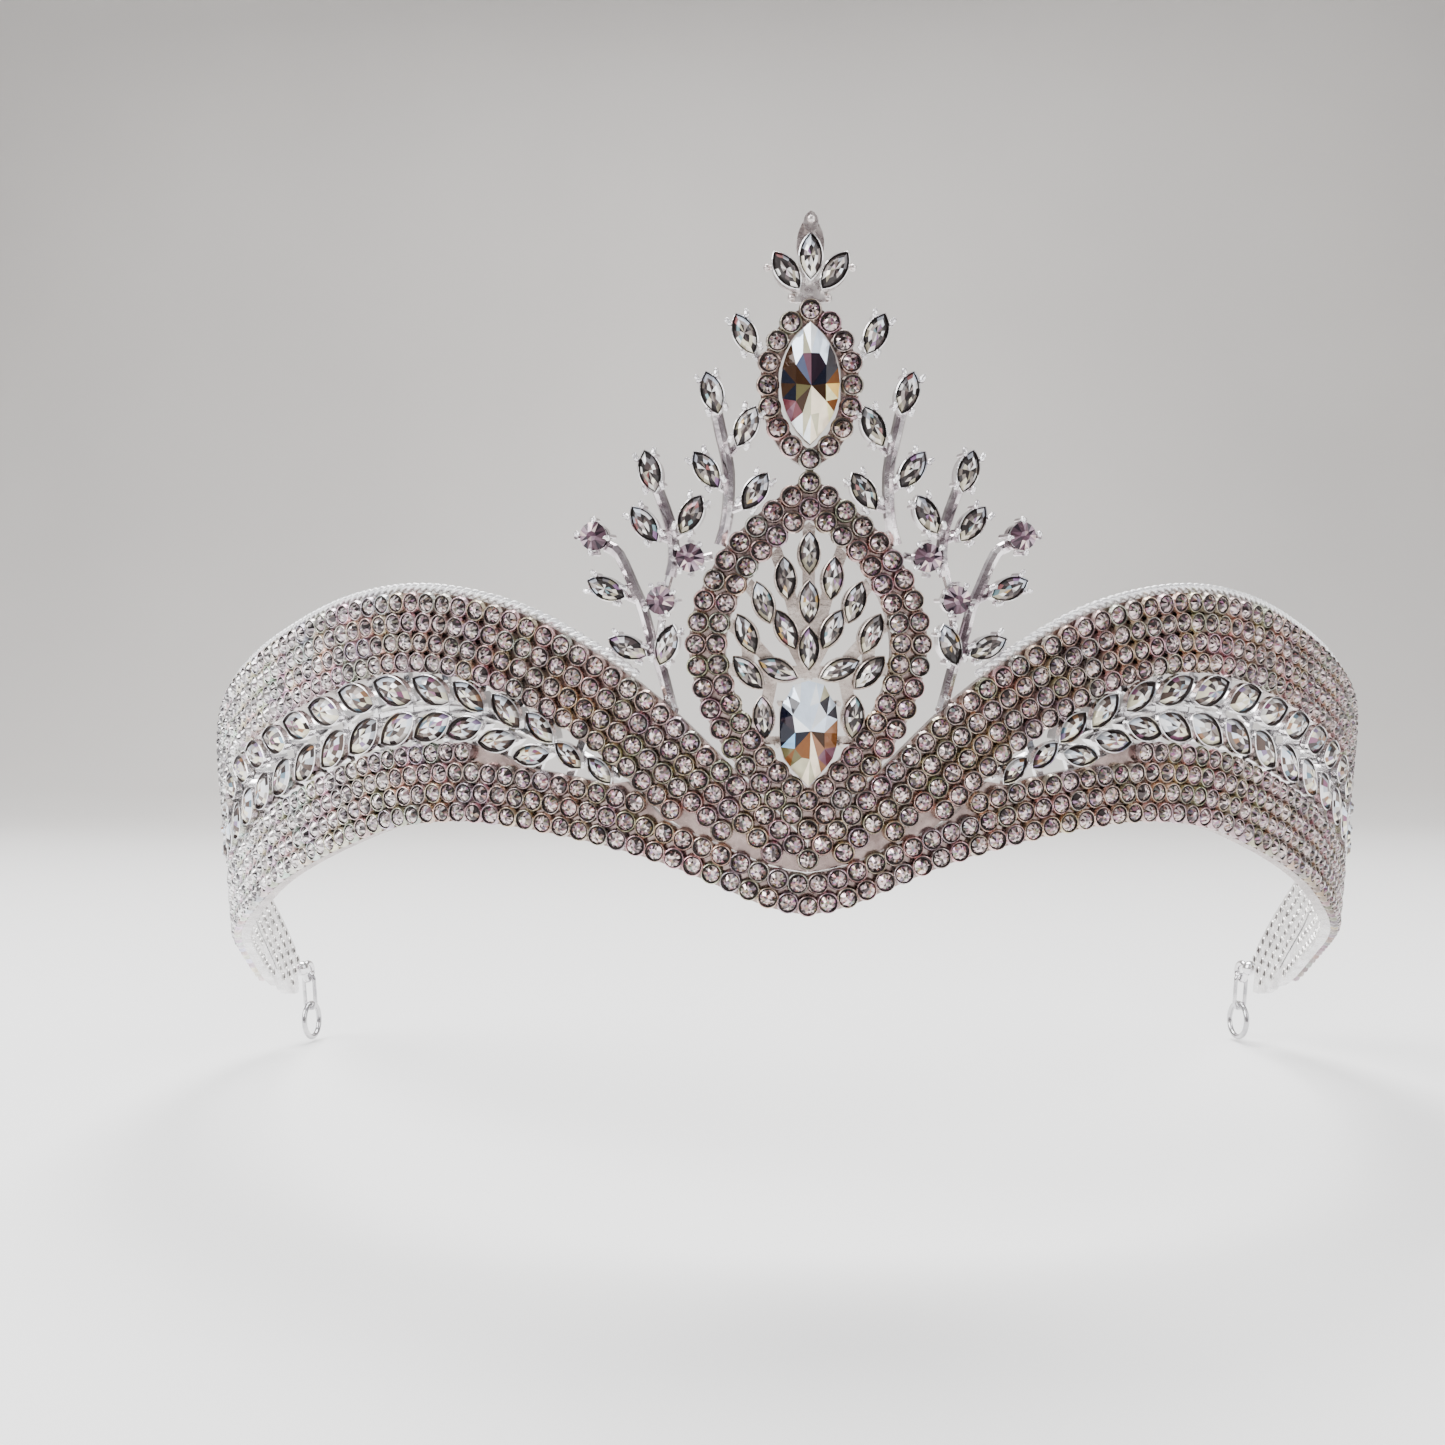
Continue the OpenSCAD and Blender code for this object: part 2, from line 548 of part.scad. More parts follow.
spray_outer_crystals();  // spray_outer_crystals_right
left() end_lug();  // end_lug_left
end_lug();  // end_lug_right
left() link();  // link_left
link();  // link_right
left() ribbon_loop();  // loop_left
ribbon_loop();  // loop_right
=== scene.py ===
"""Looks of a bridal tiara: cut stones in their cups, cast silver, and a soft pale studio.

Every stone is built where a stone of the CAD model sits. The model's stones are read one by one
from their node's mesh, and each is replaced by a faceted stone in a cup. Lengths are in metres.
"""

import math
import random

import bpy
import numpy as np
from mathutils import Matrix, Vector


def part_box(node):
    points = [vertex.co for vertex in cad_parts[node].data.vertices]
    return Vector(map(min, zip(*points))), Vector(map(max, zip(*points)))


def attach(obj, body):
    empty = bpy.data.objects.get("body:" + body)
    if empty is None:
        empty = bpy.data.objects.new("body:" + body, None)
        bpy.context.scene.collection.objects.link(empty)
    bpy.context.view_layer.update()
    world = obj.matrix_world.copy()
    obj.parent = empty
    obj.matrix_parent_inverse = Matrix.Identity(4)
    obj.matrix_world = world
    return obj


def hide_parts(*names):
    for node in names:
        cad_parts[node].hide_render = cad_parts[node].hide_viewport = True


MM = 0.001
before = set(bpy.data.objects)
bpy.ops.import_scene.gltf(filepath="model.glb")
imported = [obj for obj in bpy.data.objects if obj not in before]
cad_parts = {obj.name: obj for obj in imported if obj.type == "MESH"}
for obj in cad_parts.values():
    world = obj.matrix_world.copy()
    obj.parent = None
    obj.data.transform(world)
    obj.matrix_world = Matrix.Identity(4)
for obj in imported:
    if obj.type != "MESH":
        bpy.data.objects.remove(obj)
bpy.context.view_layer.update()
ROOT = "tiara"

# --- The shape that the CAD model shares ---

FLARE = 0.08                      # growth of the band's radius for each unit of height
REF_R = 78.5 * MM                 # radius of the stones' faces at height zero
STEM_DEPTH = 2.3 * MM             # from the stones' faces to the middle of a spray's stem
PLATE_BACK = 2.45 * MM            # from the stones' faces to the castings' backs


def place(point):
    """A matrix at a point on the band's cone: X runs round it, Y up it and Z out of it."""
    rho = math.hypot(point.x, point.y)
    out = Vector((point.x / rho, point.y / rho, -FLARE)).normalized()
    round_it = Vector((-point.y / rho, point.x / rho, 0))
    up = out.cross(round_it)
    return Matrix.Translation(point) @ Matrix((round_it, up, out)).transposed().to_4x4()


def on_face(u, z, depth=0.0):
    """The point at a length u round the front, a height z and a depth behind the stones' faces."""
    r = REF_R + FLARE * z - depth
    return Vector((r * math.sin(u / REF_R), -r * math.cos(u / REF_R), z))


# --- Materials ---

# How finely the noise of each effect is drawn, and how deep the skin of a casting is.
CLOUD_SCALE, STONE_SCALE, POLISH_SCALE, SKIN_SCALE = 420, 900, 1500, 2600
SETTING_CLOUD_SCALE, SETTING_SKIN_SCALE, BACKDROP_SCALE = 700, 3200, 3.0
SKIN_DEPTH, SETTING_SKIN_DEPTH = 0.06 * MM, 0.07 * MM


def node_material(name):
    """A new material with its node tree and its shader."""
    mat = bpy.data.materials.new(name)
    mat.use_nodes = True
    tree = mat.node_tree
    return mat, tree, tree.nodes["Principled BSDF"]


def add(tree, kind, **values):
    """A new node with the values given."""
    node = tree.nodes.new(kind)
    for key, value in values.items():
        setattr(node, key, value)
    return node


def mix_colors(tree, factor, a, b, blend="MIX"):
    """The output of a colour mix; each of factor, a and b is a socket or a plain value."""
    node = add(tree, "ShaderNodeMix", data_type="RGBA", blend_type=blend)
    for socket, value in ((0, factor), (6, a), (7, b)):
        if isinstance(value, bpy.types.NodeSocket):
            tree.links.new(value, node.inputs[socket])
        else:
            node.inputs[socket].default_value = value if socket == 0 else (*value, 1)
    return node.outputs[2]


def noise(tree, scale, detail=3.0):
    """Noise fixed to the object."""
    coords = add(tree, "ShaderNodeTexCoord")
    node = add(tree, "ShaderNodeTexNoise")
    node.inputs["Scale"].default_value = scale
    node.inputs["Detail"].default_value = detail
    tree.links.new(coords.outputs["Object"], node.inputs["Vector"])
    return node.outputs["Fac"]


def spread(tree, socket, low, high, new_low=0.0, new_high=1.0):
    """A value taken from one range to another, and held at its ends."""
    node = add(tree, "ShaderNodeMapRange")
    tree.links.new(socket, node.inputs["Value"])
    for i, value in enumerate((low, high, new_low, new_high), start=1):
        node.inputs[i].default_value = value
    return node.outputs["Result"]


def patchy(tree, scale, low=0.0, high=1.0, contrast=0.2):
    """A value that wanders from low to high over the surface."""
    return spread(tree, noise(tree, scale), 0.5 - contrast, 0.5 + contrast, low, high)


def along_axis(tree, axis, kind="Object"):
    """How far a point lies along one axis."""
    coords = add(tree, "ShaderNodeTexCoord")
    axes = add(tree, "ShaderNodeSeparateXYZ")
    tree.links.new(coords.outputs[kind], axes.inputs[0])
    return axes.outputs[axis]


def facet_color(tree, shade):
    """The facet's painted colour, which carries painted reflection and painted shade, times a
    shade.
    """
    facet = add(tree, "ShaderNodeAttribute", attribute_name="facet")
    shaded = add(tree, "ShaderNodeVectorMath", operation="SCALE")
    tree.links.new(facet.outputs["Color"], shaded.inputs[0])
    tree.links.new(shade, shaded.inputs["Scale"])
    return shaded.outputs["Vector"]


def bump(tree, shader, height, strength, distance):
    """Relief on the shader, by a height of 0 to 1 over the distance given."""
    node = add(tree, "ShaderNodeBump")
    node.inputs["Strength"].default_value = strength
    node.inputs["Distance"].default_value = distance
    tree.links.new(height, node.inputs["Height"])
    tree.links.new(node.outputs["Normal"], shader.inputs["Normal"])


def cast_silver(name, color, tint, roughness, grain=0.35, metallic=1.0):
    """Bright plated casting: cloudy tint, uneven polish and the fine skin of a casting."""
    mat, tree, shader = node_material(name)
    cloud = patchy(tree, CLOUD_SCALE, contrast=0.15)
    tree.links.new(mix_colors(tree, cloud, color, tint), shader.inputs["Base Color"])
    shader.inputs["Metallic"].default_value = metallic
    polish = patchy(tree, POLISH_SCALE, roughness * 0.7, roughness * 1.4)
    tree.links.new(polish, shader.inputs["Roughness"])
    bump(tree, shader, noise(tree, SKIN_SCALE, 4.0), grain, SKIN_DEPTH)
    return mat


def cut_stone(name, roughness=0.06, metallic=0.62, coat=0.6, specular=0.5):
    """A foiled stone: each facet has a painted colour, mostly painted reflection, under a clear
    polished top.
    """
    mat, tree, shader = node_material(name)
    color = facet_color(tree, patchy(tree, STONE_SCALE, 0.9, 1.06))
    tree.links.new(color, shader.inputs["Base Color"])
    shader.inputs["Metallic"].default_value = metallic
    shader.inputs["Roughness"].default_value = roughness
    shader.inputs["Coat Weight"].default_value = coat
    shader.inputs["Coat Roughness"].default_value = 0.03
    shader.inputs["Specular IOR Level"].default_value = specular
    return mat


def setting_metal():
    """Cast metal round the stones, facet by facet: rosy at the front, silvery at the sides as
    painted reflection, and darker on the right as painted shade.
    """
    mat, tree, shader = node_material("stone_setting")
    color = facet_color(tree, patchy(tree, SETTING_CLOUD_SCALE, 0.55, 1.15))
    tree.links.new(color, shader.inputs["Base Color"])
    shader.inputs["Metallic"].default_value = 1.0
    tree.links.new(patchy(tree, POLISH_SCALE, 0.168, 0.36), shader.inputs["Roughness"])
    bump(tree, shader, noise(tree, SETTING_SKIN_SCALE, 4.0), 0.5, SETTING_SKIN_DEPTH)
    return mat


def plate_metal():
    """Cast metal of the band: taupe at the front, silver towards the ends. The dark front is
    painted shade of the recess between the cups, and the silver ends are painted reflection.
    """
    mat, tree, shader = node_material("plate_metal")
    back = spread(tree, along_axis(tree, "Y"), -60 * MM, -15 * MM)
    cloud = patchy(tree, CLOUD_SCALE, contrast=0.15)
    # Painted shade at the front, painted reflection towards the ends.
    front_tone = mix_colors(tree, cloud, (0.33, 0.255, 0.235), (0.19, 0.14, 0.13))
    back_tone = mix_colors(tree, cloud, (0.9, 0.89, 0.89), (0.66, 0.64, 0.64))
    tree.links.new(mix_colors(tree, back, front_tone, back_tone), shader.inputs["Base Color"])
    shader.inputs["Metallic"].default_value = 1.0
    tree.links.new(patchy(tree, POLISH_SCALE, 0.18, 0.36), shader.inputs["Roughness"])
    bump(tree, shader, noise(tree, SKIN_SCALE, 4.0), 0.35, SKIN_DEPTH)
    return mat


def gap_dark():
    """The dark between a stone and its cup, and in the holes behind the stones: painted shade."""
    mat, tree, shader = node_material("shadow_gap")
    cloud = patchy(tree, STONE_SCALE)
    tone = mix_colors(tree, cloud, (0.02, 0.013, 0.013), (0.05, 0.036, 0.034))
    tree.links.new(tone, shader.inputs["Base Color"])
    shader.inputs["Roughness"].default_value = 0.5
    shader.inputs["Metallic"].default_value = 0.3
    return mat


SILVER = cast_silver("bright_silver", (0.93, 0.92, 0.93), (0.7, 0.68, 0.69), 0.17)
WHITE_SILVER = cast_silver("white_silver", (1.0, 1.0, 1.0), (0.9, 0.9, 0.92), 0.25, 0.05, 0.6)
BEAD_SILVER = cast_silver("bead_silver", (0.97, 0.96, 0.97), (0.62, 0.59, 0.61), 0.18, 0.2, 0.8)
PLATE_METAL = plate_metal()
LATTICE_SILVER = cast_silver("lattice_silver", (0.62, 0.54, 0.49), (0.32, 0.26, 0.23), 0.24)
STEM_SILVER = cast_silver("stem_silver", (0.84, 0.79, 0.8), (0.42, 0.36, 0.39), 0.14)
FINIAL_SILVER = cast_silver("finial_silver", (0.8, 0.75, 0.73), (0.36, 0.3, 0.29), 0.26, 0.9, 0.95)
RING_METAL = cast_silver("ring_metal", (0.7, 0.69, 0.7), (0.42, 0.41, 0.43), 0.18)
SETTING = setting_metal()
STONE = cut_stone("cut_stone")
CRYSTAL = cut_stone("crystal", 0.04, 0.25, 0.12, 0.25)
GAP = gap_dark()

# The materials of a piece with set stones, in the order of its slots.
STONE_SLOT, METAL_SLOT, GAP_SLOT, BEAD_SLOT = range(4)

# --- Meshes with a colour for each facet ---


class Facets:
    """Faces gathered for one object, each with its own colour and material."""

    def __init__(self):
        self.points, self.faces, self.colors, self.slots = [], [], [], []

    def add(self, matrix, points, faces, colors, slot=STONE_SLOT):
        """Faces between points that the matrix places, with a colour for each face."""
        start = len(self.points)
        self.points += [tuple(matrix @ Vector(p)) for p in points]
        self.faces += [tuple(start + i for i in f) for f in faces]
        self.colors += colors
        self.slots += [slot] * len(faces)

    def build(self, name, materials, smooth=False):
        """The object made of all the faces, which rides on the tiara."""
        mesh = bpy.data.meshes.new(name)
        mesh.from_pydata(self.points, [], self.faces)
        for mat in materials:
            mesh.materials.append(mat)
        mesh.polygons.foreach_set("material_index", self.slots)
        mesh.polygons.foreach_set("use_smooth", [smooth] * len(self.faces))
        layer = mesh.color_attributes.new("facet", "FLOAT_COLOR", "CORNER")
        values = [c for f, color in zip(self.faces, self.colors) for _ in f for c in (*color, 1.0)]
        layer.data.foreach_set("color", values)
        mesh.update()
        obj = bpy.data.objects.new(name, mesh)
        bpy.context.scene.collection.objects.link(obj)
        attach(obj, ROOT)
        return obj


def stones_of(node):
    """Each loose solid of a CAD node, as an array of its points."""
    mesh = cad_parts[node].data
    points = np.array([v.co for v in mesh.vertices], float)
    keys, where = np.unique(np.round(points / 1e-6).astype(np.int64), axis=0, return_inverse=True)
    where = where.ravel()
    parent = list(range(len(keys)))

    def root(i):
        """The point that stands for all the points joined to this one."""
        while parent[i] != i:
            parent[i] = parent[parent[i]]
            i = parent[i]
        return i

    for polygon in mesh.polygons:
        first, *others = (root(where[i]) for i in polygon.vertices)
        for other in others:
            parent[root(other)] = root(first)
    groups = {}
    for i, place_no in enumerate(where):
        groups.setdefault(root(place_no), []).append(i)
    return [points[ids] for ids in groups.values()]


def seat_of(points):
    """Where a stone sits: its matrix with Z out and Y along it, its half length and half width."""
    low, high = points.min(0), points.max(0)
    base = place(Vector((low + high) / 2))
    for _ in range(2):
        local = np.array([base.inverted() @ Vector(p) for p in points])
        middle = (local.min(0) + local.max(0)) / 2
        base = place(base @ Vector((middle[0], middle[1], local[:, 2].max())))
    local = np.array([base.inverted() @ Vector(p) for p in points])
    flat = local[:, :2]
    far = flat[np.argmax((flat ** 2).sum(1))]
    lean = math.atan2(-far[0], far[1])
    if abs(lean) > math.pi / 2:
        lean -= math.copysign(math.pi, lean)
    cos, sin = math.cos(lean), math.sin(lean)
    width = np.abs(flat @ np.array([cos, sin])).max()
    return base @ Matrix.Rotation(lean, 4, "Z"), float(np.hypot(*far)), float(width)


def ring(radius, z, count, turn=0.0):
    """Points evenly round a circle at a height z."""
    return [(radius * math.cos(turn + 2 * math.pi * i / count),
             radius * math.sin(turn + 2 * math.pi * i / count), z) for i in range(count)]


def between(a, b, count):
    """Quads that join two rings of points, given the index of each ring's first point."""
    return [(a + i, a + (i + 1) % count, b + (i + 1) % count, b + i) for i in range(count)]


def mixed(a, b, t):
    """The tuple a share t of the way from a to b."""
    return tuple(x + (y - x) * t for x, y in zip(a, b))


# --- Round pavé stones in their cups ---

STONE_R = 0.79 * MM
TABLE_SHARE = 0.45                # the table's radius, as a share of the stone's
STONE_SINK = 0.03 * MM            # from the CAD stone's face to the table
STONE_RISE = 0.42 * MM            # from the stone's edge to its table
CUP_SIDES, HOLE_SIDES = 20, 14
# A cup's radii and heights in mm, from its foot over its lip to the gap inside it.
CUP_PROFILE = ((1.0, -1.3), (1.13, -0.8), (1.0, -0.4), (0.96, -0.37), (0.92, -0.41),
               (0.89, -0.62), (0.7, -0.64))
CUP_GAP_FROM = 4                  # the step of the profile where the gap starts

# Cup metal: taupe at the front, and the silvery tone that the cups take towards the sides as
# painted reflection.
TAUPE_METAL, CLEAR_METAL = (0.6, 0.48, 0.43), (0.8, 0.78, 0.76)
# Facet tones of the pavé stones. LIGHT, and the three silvery tones after it, are painted
# reflection: bright facets for the mirrored floor below, silvery facets for reflection at the
# band's sides.
DARK, TAUPE = (0.035, 0.022, 0.022), (0.24, 0.17, 0.15)
ROSE, LIGHT = (0.36, 0.23, 0.26), (0.84, 0.69, 0.66)
REFLECTED_DARK, REFLECTED_MID, REFLECTED_LIGHT = (0.06, 0.055, 0.06), (0.42, 0.4, 0.4), (1.0, 1.0, 1.0)
BLACK, WHITE = (0, 0, 0), (1, 1, 1)


def stone_tone(rng, clear, height):
    """A facet's colour, mostly painted reflection: mostly dark above, mostly bright below, rosy or
    clear by place.
    """
    roll = rng.random() + 0.28 * height
    if roll > 0.7:
        return mixed(DARK, REFLECTED_DARK, clear)
    if roll > 0.3:
        tone = TAUPE if rng.random() < 0.6 else ROSE
        return mixed(tuple(c * rng.uniform(0.6, 1.25) for c in tone), REFLECTED_MID, clear)
    return mixed(mixed(ROSE, LIGHT, rng.uniform(0.45, 1.0)), REFLECTED_LIGHT, clear)


def round_stone(facets, matrix, rng, clear, dim):
    """A brilliant seen from above: a table, a belt of star facets and sixteen outer facets."""
    turn, step = rng.uniform(0, math.pi / 4), math.pi / 8
    points = (ring(STONE_R * TABLE_SHARE, -STONE_SINK, 8, turn)
              + ring(STONE_R * 0.74, -STONE_SINK - STONE_RISE * 0.5, 8, turn + step)
              + ring(STONE_R, -STONE_SINK - STONE_RISE, 16, turn) + [(0, 0, -STONE_SINK)])
    middle = len(points) - 1
    faces = []
    for i in range(8):
        j = (i + 1) % 8
        a, b, c = 16 + 2 * i, 17 + 2 * i, 16 + (2 * i + 2) % 16
        faces += [(i, j, middle), (i, 8 + i, j), (i, a, 8 + i)]
        faces += [(a, b, 8 + i), (8 + i, b, c), (8 + i, c, j)]
    # Painted reflection and painted shade: each facet's tone follows its height and its place round
    # the band, times dim.
    colors = []
    for f in faces:
        tone = stone_tone(rng, clear, sum(points[i][1] for i in f) / len(f) / STONE_R)
        colors.append(tuple(c * dim for c in tone))
    facets.add(matrix, points, faces, colors)


def cup(facets, matrix, tone):
    """The metal round a stone: a sloping skirt, a thin lip, and a dark gap inside it, painted black
    as painted shade.
    """
    n = CUP_SIDES
    points = [p for r, z in CUP_PROFILE for p in ring(r * MM, z * MM, n)]
    for k in range(len(CUP_PROFILE) - 1):
        inside = k >= CUP_GAP_FROM
        faces = [(b, a, d, c) for a, b, c, d in between(0, n, n)]
        facets.add(matrix, points[k * n:(k + 2) * n], faces, [BLACK if inside else tone] * n,
                   GAP_SLOT if inside else METAL_SLOT)


def back_hole(facets, matrix):
    """The rim and the dark hole behind a stone, on the casting's back; the hole is a flat disc
    painted black as painted shade.
    """
    n, z = HOLE_SIDES, -PLATE_BACK
    rings = [ring(0.72 * MM, z, n), ring(0.66 * MM, z - 0.12 * MM, n),
             ring(0.5 * MM, z - 0.12 * MM, n), ring(0.46 * MM, z - 0.01 * MM, n)]
    points = [p for r in rings for p in r]
    for k in range(3):
        facets.add(matrix, points[k * n:(k + 2) * n], between(0, n, n), [CLEAR_METAL] * n,
                   METAL_SLOT)
    facets.add(matrix, rings[3], [tuple(range(n))], [BLACK], GAP_SLOT)


def angle_round(point):
    """A point's angle round the band in degrees, from the front and growing to the right."""
    return math.degrees(math.atan2(point.x, -point.y))


def painted_reflection_share(point):
    """How silvery a stone looks, as painted reflection: rosy at the front, clear towards the band's
    sides.
    """
    turn = angle_round(point)
    start, reach = (20, 42) if turn < 0 else (58, 60)
    return min(1.0, max(0.0, (abs(turn) - start) / reach))


def dimmed(point):
    """The share of its colour that a stone keeps; the right side faces away from the key light."""
    return 1.0 - 0.45 * min(1.0, max(0.0, (angle_round(point) - 32) / 25))


def pave(node, shade=1.0):
    """Stones in their cups, in place of the plain stones of a CAD node."""
    rng = random.Random(node)
    facets = Facets()
    for points in stones_of(node):
        matrix, _, _ = seat_of(points)
        # Painted light: towards the sides the cups and stones take a silvery painted reflection,
        # and on the right they are darkened as painted shade.
        clear = painted_reflection_share(matrix.translation)
        dim = dimmed(matrix.translation)
        tone = tuple(c * shade * dim for c in mixed(TAUPE_METAL, CLEAR_METAL, clear))
        cup(facets, matrix, tuple(c * rng.uniform(0.85, 1.15) for c in tone))
        shift = Matrix.Translation((rng.uniform(0, 0.05) * MM, rng.uniform(-0.05, 0) * MM, 0))
        nod = Matrix.Rotation(rng.uniform(-0.06, 0.06), 4, "X")
        tilt = nod @ Matrix.Rotation(rng.uniform(-0.06, 0.06), 4, "Y")
        round_stone(facets, matrix @ shift @ tilt, rng, clear, dim * shade)
        back_hole(facets, matrix)
    obj = facets.build(node + "_set", [STONE, SETTING, GAP])
    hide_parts(node)


# --- Marquise stones ---


def marquise_ring(half_l, half_w, z, count):
    """Points round a pointed oval, from its upper point, the same number on each side."""
    r = (half_l ** 2 + half_w ** 2) / (2 * half_w)
    reach = math.asin(half_l / r)
    side = [reach * (1 - 4 * i / count) for i in range(count // 2)]
    right = [(r * math.cos(a) - r + half_w, r * math.sin(a), z) for a in side]
    return right + [(-x, -y, z) for x, y, z in right]


def marquise_stone(facets, matrix, rng, half_l, half_w, rise, top, palette, count=12):
    """A cut marquise: a long table, a belt of upper facets and a belt of outer facets."""
    girdle = marquise_ring(half_l, half_w, top - rise, count)
    belt = marquise_ring(half_l * 0.74, half_w * 0.72, top - rise * 0.4, count)
    table = marquise_ring(half_l * 0.5, half_w * 0.42, top, count)
    points = girdle + belt + table + [(0, 0, top)]
    faces = [(a, b, c, d) for a, b, c, d in between(0, count, count)]
    faces += between(count, 2 * count, count)
    faces += [(2 * count + i, 2 * count + (i + 1) % count, 3 * count) for i in range(count)]
    faces = [tuple(reversed(f)) for f in faces]
    colors = [palette(rng, points[f[0]][1] / half_l) for f in faces]
    facets.add(matrix, points, faces, colors)


def laurel_palette(rng, height):
    """Bright crystal, in painted reflection: icy above, cream below, with a few wine and brown
    facets between them.
    """
    y = height + rng.uniform(-0.3, 0.3)
    roll = rng.random()
    if roll < 0.3:
        return rng.choice(((0.04, 0.03, 0.03), (0.1, 0.07, 0.06)))
    if roll < 0.42:
        return rng.choice(((0.24, 0.1, 0.17), (0.3, 0.16, 0.09), (0.27, 0.2, 0.34),
                           (0.16, 0.24, 0.3)))
    if y > 0.2:
        return rng.choice(((0.8, 0.88, 1.0), (0.95, 0.97, 1.0), (0.5, 0.53, 0.58)))
    if y < -0.2:
        return rng.choice(((0.98, 0.92, 0.7), (0.75, 0.7, 0.5), (0.95, 0.92, 0.86)))
    return rng.choice(((0.22, 0.18, 0.16), (0.5, 0.46, 0.43), (0.93, 0.92, 0.9)))


def leaf_palette(rng, height):
    """Clear crystal, in painted reflection: pale above, broken dark in the middle, cream and olive
    below.
    """
    y = height + rng.uniform(-0.35, 0.35)
    roll = rng.random()
    if roll < 0.34:
        return (0.035, 0.03, 0.03)
    if roll < 0.4:
        return rng.choice(((0.3, 0.17, 0.33), (0.5, 0.32, 0.12), (0.3, 0.12, 0.12),
                           (0.2, 0.33, 0.36), (0.8, 0.6, 0.7)))
    if y > 0.35:
        return rng.choice(((0.8, 0.88, 1.0), (0.97, 0.97, 1.0), (0.4, 0.42, 0.48),
                           (0.2, 0.19, 0.2)))
    if y < -0.3:
        return rng.choice(((0.98, 0.92, 0.76), (0.6, 0.56, 0.42), (0.95, 0.92, 0.88),
                           (0.3, 0.27, 0.2)))
    return rng.choice(((0.2, 0.17, 0.15), (0.42, 0.37, 0.35), (0.09, 0.07, 0.07),
                       (0.93, 0.92, 0.9)))


CUP_WALL = 0.17 * MM              # how far a marquise's cup stands out round it


def marquise_cup(facets, matrix, half_l, half_w, foot, lip):
    """The metal round a marquise, with a thin lip and a dark gap inside it, painted black as
    painted shade.
    """
    n = 28
    # How far each ring stands out from the stone, and its height.
    steps = [(CUP_WALL, foot), (CUP_WALL, lip - 0.06 * MM), (CUP_WALL * 0.55, lip),
             (0.05 * MM, lip - 0.06 * MM), (-0.02 * MM, lip - 0.35 * MM)]
    points = [p for out, z in steps for p in marquise_ring(half_l + out, half_w + out, z, n)]
    points += marquise_ring(half_l * 0.9, half_w * 0.85, lip - 0.36 * MM, n)
    for k in range(len(steps)):
        facets.add(matrix, points[k * n:(k + 2) * n], between(0, n, n), [WHITE] * n,
                   GAP_SLOT if k >= 3 else METAL_SLOT)


def ball(facets, matrix, centre, radius):
    """A small round bead made of rings."""
    n, bands = 10, 6
    points = [p for k in range(1, bands) for p in ring(radius * math.sin(math.pi * k / bands),
                                                       radius * math.cos(math.pi * k / bands), n)]
    last = len(points)
    points += [(0, 0, radius), (0, 0, -radius)]
    faces = [f for k in range(bands - 2) for f in between((k + 1) * n, k * n, n)]
    faces += [(i, (i + 1) % n, last) for i in range(n)]
    faces += [(last - n + (i + 1) % n, last - n + i, last + 1) for i in range(n)]
    facets.add(matrix @ Matrix.Translation(centre), points, faces, [WHITE] * len(faces), BEAD_SLOT)


def peg(facets, matrix, start, end, radius):
    """A thin tapered wire between two points."""
    start, end = Vector(start), Vector(end)
    turn = (end - start).to_track_quat("Z", "Y").to_matrix().to_4x4()
    n, length = 8, (end - start).length
    points = ring(radius * 1.2, 0, n) + ring(radius, length, n)
    facets.add(matrix @ Matrix.Translation(start) @ turn, points, between(0, n, n), [WHITE] * n,
               BEAD_SLOT)


def prongs(facets, matrix, half_l):
    """Four ball-tipped prongs, two at each end of a leaf, spread like a V."""
    for side in (-1, 1):
        for end in (-1, 1):
            claw = (side * 0.88 * MM, end * 1.44 * MM, -0.12 * MM)
            reach = (1.0 if end > 0 else 0.85) * MM
            tip = (side * reach, end * (half_l - 0.15 * MM), -0.25 * MM)
            peg(facets, matrix, claw, tip, 0.22 * MM)
            ball(facets, matrix, claw, 0.26 * MM)
            ball(facets, matrix, tip, 0.26 * MM)


# The wires that carry the stems on to the band and to the next spray: both ends, as lengths round
# the front and heights, and the radius, in mm.
WIRES = {"outer": [((13.75, 21.4), (13.3, 20.0), 0.5)],
         "middle": [((13.35, 33.5), (14.3, 30.2), 0.36)]}


def wire(facets, sign, start, end, radius):
    """A round-ended wire on the casting."""
    ends = [on_face(sign * u * MM, z * MM, STEM_DEPTH) for u, z in (start, end)]
    peg(facets, Matrix(), *ends, radius * MM)
    for spot in ends:
        ball(facets, Matrix(), spot, 1.2 * radius * MM)


LEAF_RISE, LAUREL_RISE = 0.55 * MM, 0.8 * MM     # from a marquise's edge to its table
ROUND_BELOW = 1.2                 # a stone less long than this for its width is a round one


def leaves(node, metal, rise=LEAF_RISE, pronged=False, palette=leaf_palette, wires=()):
    """Marquises and claw-set round stones, in place of the plain stones of a CAD node."""
    rng = random.Random(node)
    facets = Facets()
    for points in stones_of(node):
        matrix, half_l, half_w = seat_of(points)
        if half_l < ROUND_BELOW * half_w:
            chaton(facets, matrix, rng)
            continue
        marquise_stone(facets, matrix, rng, half_l - 0.06 * MM, half_w - 0.06 * MM, rise,
                       -0.02 * MM, palette)
        marquise_cup(facets, matrix, half_l, half_w, -1.2 * MM, -0.42 * MM)
        if pronged:
            prongs(facets, matrix, half_l)
    for span in wires:
        wire(facets, -1 if node.endswith("left") else 1, *span)
    obj = facets.build(node + "_set", [CRYSTAL, metal, GAP] + [BEAD_SILVER] * pronged)
    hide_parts(node)


# Chaton facet tones: the light and dark of the star are painted reflection.
CHATON_TONES = [(0.03, 0.018, 0.026), (0.32, 0.22, 0.28), (0.07, 0.04, 0.055), (0.8, 0.62, 0.6),
                (0.02, 0.012, 0.02), (0.14, 0.08, 0.11), (0.45, 0.33, 0.4), (0.09, 0.05, 0.065)]
CHATON_TABLE, CHATON_WALL = (0.13, 0.07, 0.1), (0.03, 0.02, 0.03)
CHATON_R = 1.38 * MM


